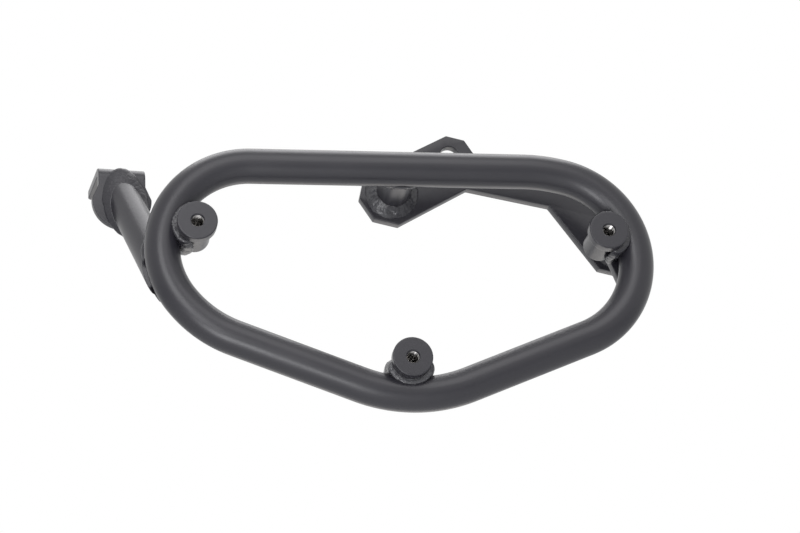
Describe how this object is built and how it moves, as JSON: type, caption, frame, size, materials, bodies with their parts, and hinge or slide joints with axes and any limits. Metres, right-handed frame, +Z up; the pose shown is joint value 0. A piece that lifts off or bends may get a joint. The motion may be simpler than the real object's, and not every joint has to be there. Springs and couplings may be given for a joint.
{
  "type": "pannier frame",
  "caption": "Welded tubular side carrier for a motorcycle pannier: closed loop of bent tube with threaded bosses, stand-offs, laser-cut rear plate and folded front foot, in black powder coat.",
  "frame": {"origin": "centre of the rear plate's bolt hole, on the plate's rear face, which bears on the motorcycle", "axes": "+X to the right along the frame as seen from outside the motorcycle, +Y inwards to the motorcycle, +Z up"},
  "size_m": [0.2591, 0.087, 0.1464],
  "materials": {
    "powder_coat": "satin",
    "weld_coat": "semi-gloss"
  },
  "bodies": {
    "root": {"loop_tube": "powder_coat", "boss_left": "powder_coat", "boss_right": "powder_coat", "boss_bottom": "powder_coat", "rear_plate": "powder_coat", "upper_standoff": "powder_coat", "rear_standoff": "powder_coat", "front_standoff": "powder_coat", "front_foot": "powder_coat", "tube_gusset": "powder_coat", "weld_boss_left": "weld_coat", "weld_boss_right": "weld_coat", "weld_boss_bottom": "weld_coat", "weld_upper_tube": "weld_coat", "weld_upper_plate": "weld_coat", "weld_rear_tube": "weld_coat", "weld_rear_plate": "weld_coat", "weld_front_tube": "weld_coat", "weld_foot": "weld_coat", "weld_gusset": "weld_coat"}
  },
  "joints": []
}
